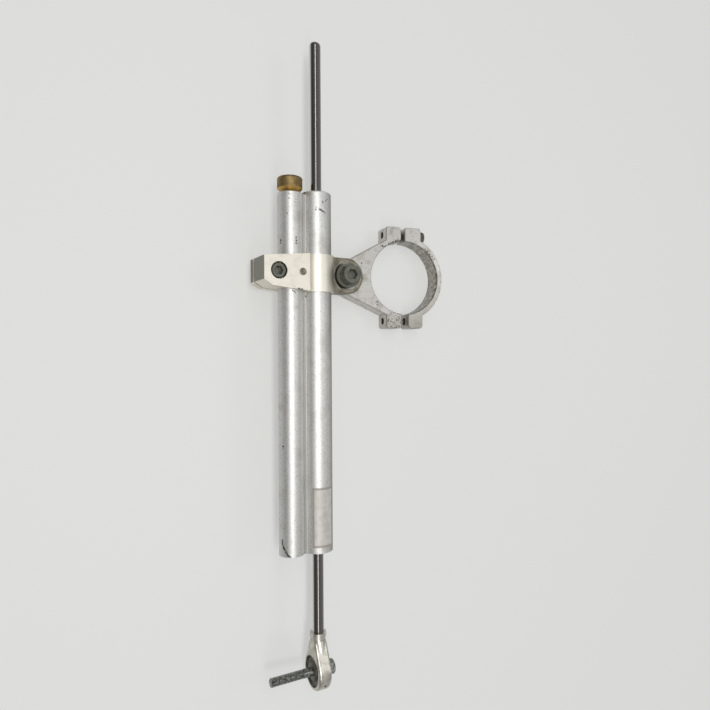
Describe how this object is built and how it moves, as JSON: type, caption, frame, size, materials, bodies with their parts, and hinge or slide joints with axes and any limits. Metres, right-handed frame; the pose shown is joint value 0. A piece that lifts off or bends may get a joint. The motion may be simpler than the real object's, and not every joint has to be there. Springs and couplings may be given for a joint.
{
  "type": "steering damper",
  "caption": "Motorcycle steering damper: an oil cylinder with a through rod, adjuster knob and rod end, and a split fork clamp on a pivoting collar.",
  "frame": {"origin": "centre of the fork clamp's bore, half way through its depth", "axes": "+Z along the fork clamp's bore towards the pivot screw's head (the front), +Y along the rod towards its free tip, +X from the cylinder to the fork clamp"},
  "size_m": [0.1466, 0.4416, 0.0423],
  "materials": {
    "satin_alloy": "fine brushed satin, silver",
    "clamp_alloy": "machined and tumbled, silver",
    "collar_alloy": "machined, worn and slightly greasy",
    "dark_chrome": "polished hard chrome, dark",
    "polished_steel": "polished steel",
    "bearing_steel": "ground bearing steel",
    "black_steel": "black oxide, rubbed at the edges",
    "aged_brass": "aged, dull, fine knurl",
    "bright_brass": "turned",
    "spring_steel": "plain spring steel",
    "black_rubber": "soft matt",
    "white_plastic": "plain low-friction plastic",
    "foil": "thin bare foil"
  },
  "bodies": {
    "damper": {"cylinder_body": "satin_alloy", "upper_rod_guide": "bright_brass", "lower_rod_guide": "bright_brass", "guide_o_rings": "black_rubber", "guide_circlips": "spring_steel", "upper_rod_seal": "black_rubber", "lower_rod_seal": "black_rubber", "upper_rod_wiper": "black_rubber", "lower_rod_wiper": "black_rubber", "adjuster_gland": "clamp_alloy", "detent_ball": "bearing_steel", "detent_spring": "spring_steel", "side_bore_plug": "clamp_alloy", "plug_o_ring": "black_rubber", "foil_plate": "foil", "body_collar": "collar_alloy", "pinch_screw": "black_steel", "pivot_race": "bearing_steel"},
    "piston": {"piston": "clamp_alloy", "piston_band": "white_plastic"},
    "rod": {"piston_rod": "dark_chrome", "rod_circlips": "spring_steel", "rod_end_eye": "polished_steel", "rod_end_race": "bearing_steel"},
    "end_ball": {"rod_end_ball": "polished_steel"},
    "end_screw": {"rod_end_screw": "black_steel"},
    "adjuster": {"adjuster_knob": "aged_brass", "metering_spool": "bright_brass", "spool_o_ring": "black_rubber"},
    "pivot_ball": {"pivot_ball": "bearing_steel"},
    "fork_clamp": {"pivot_screw": "black_steel", "pivot_washer": "black_steel", "fork_clamp_bracket": "clamp_alloy", "fork_clamp_cap": "clamp_alloy", "clamp_screw": "black_steel"}
  },
  "joints": [
    {"name": "rod_stroke", "type": "slide", "parent": "damper", "child": "piston", "axis": [0, 1, 0], "range_m": [-0.1, 0.054]},
    {"name": "rod_turn", "type": "hinge", "parent": "piston", "child": "rod", "pos_m": [-0.07198, -0.0021, 0.01709], "axis": [0, 1, 0], "continuous": true},
    {"name": "rod_end_tilt", "type": "hinge", "parent": "rod", "child": "end_ball", "pos_m": [-0.07198, -0.2724, 0.01709], "axis": [0.1392, 0, 0.9903], "range_deg": [-12, 12]},
    {"name": "rod_end_swivel", "type": "hinge", "parent": "end_ball", "child": "end_screw", "pos_m": [-0.07198, -0.2724, 0.01709], "axis": [0.9903, 0, -0.1392], "continuous": true},
    {"name": "adjuster_turn", "type": "hinge", "parent": "damper", "child": "adjuster", "pos_m": [-0.0908, -0.0021, 0.01973], "axis": [0, 1, 0], "range_deg": [-150, 150]},
    {"name": "pivot_tilt", "type": "hinge", "parent": "damper", "child": "pivot_ball", "pos_m": [-0.05, -0.0021, 0.014], "axis": [0, 1, 0], "range_deg": [-2, 18]},
    {"name": "fork_clamp_swing", "type": "hinge", "parent": "pivot_ball", "child": "fork_clamp", "pos_m": [-0.05, -0.0021, 0.014], "axis": [0, 0, 1], "range_deg": [-50, 50]}
  ]
}
